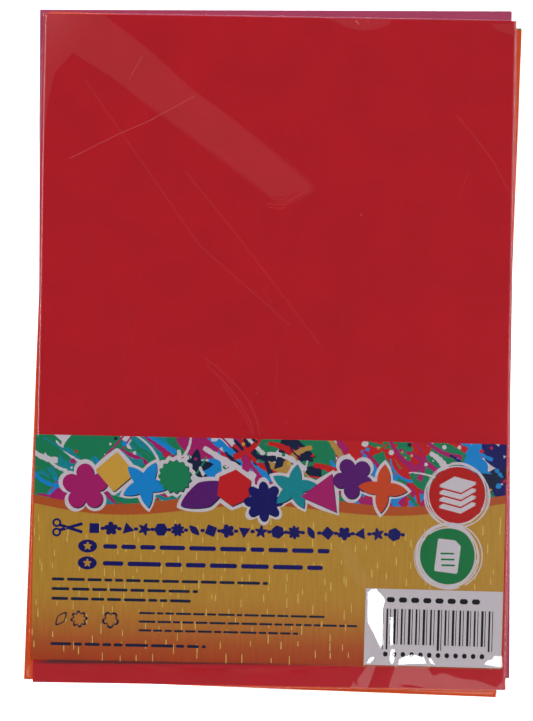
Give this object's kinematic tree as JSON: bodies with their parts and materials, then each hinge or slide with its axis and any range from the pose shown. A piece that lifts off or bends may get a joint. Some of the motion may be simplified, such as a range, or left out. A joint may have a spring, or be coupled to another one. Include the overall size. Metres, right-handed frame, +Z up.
{
  "type": "pack of craft foam sheets",
  "caption": "Flat pack of slightly fanned coloured craft foam sheets with peel-off backing, under a printed label card in a clear film bag, for cutting and sticking.",
  "frame": {"origin": "middle of the bag's footprint, on its underside, which is the surface that the pack lies on", "axes": "+X across the sheets, towards the label's sticker end; +Y along the sheets, away from the label; +Z up, out of the labelled face"},
  "size_m": [0.2172, 0.3058, 0.023],
  "materials": {
    "foam_red": "closed-cell EVA foam, matt, very fine skin, die-cut edges",
    "foam_orange": "closed-cell EVA foam, matt, very fine skin, die-cut edges",
    "foam_magenta": "closed-cell EVA foam, matt, very fine skin, die-cut edges",
    "foam_green": "closed-cell EVA foam, matt, very fine skin, die-cut edges",
    "foam_violet": "closed-cell EVA foam, matt, very fine skin, die-cut edges",
    "foam_yellow": "closed-cell EVA foam, matt, very fine skin, die-cut edges",
    "foam_sky_blue": "closed-cell EVA foam, matt, very fine skin, die-cut edges",
    "foam_lime": "closed-cell EVA foam, matt, very fine skin, die-cut edges",
    "foam_black": "closed-cell EVA foam, matt, very fine skin, die-cut edges",
    "foam_white": "closed-cell EVA foam, matt, very fine skin, die-cut edges",
    "release_paper": "silicone-coated release paper, satin",
    "label_card": "thin coated card, printed in colour, semi-gloss",
    "label_sticker": "plain pale paper sticker with dark bars",
    "clear_film": "clear polypropylene film, glossy, lightly creased"
  },
  "bodies": {
    "root": {"foam_sheet_red": "foam_red", "foam_sheet_orange": "foam_orange", "foam_sheet_magenta": "foam_magenta", "foam_sheet_green": "foam_green", "foam_sheet_violet": "foam_violet", "foam_sheet_yellow": "foam_yellow", "foam_sheet_sky_blue": "foam_sky_blue", "foam_sheet_lime": "foam_lime", "foam_sheet_black": "foam_black", "foam_sheet_white": "foam_white", "release_paper_red": "release_paper", "release_paper_orange": "release_paper", "release_paper_magenta": "release_paper", "release_paper_green": "release_paper", "release_paper_violet": "release_paper", "release_paper_yellow": "release_paper", "release_paper_sky_blue": "release_paper", "release_paper_lime": "release_paper", "release_paper_black": "release_paper", "release_paper_white": "release_paper", "label_card": "label_card", "label_sticker": "label_sticker", "clear_sleeve": "clear_film"}
  },
  "joints": []
}
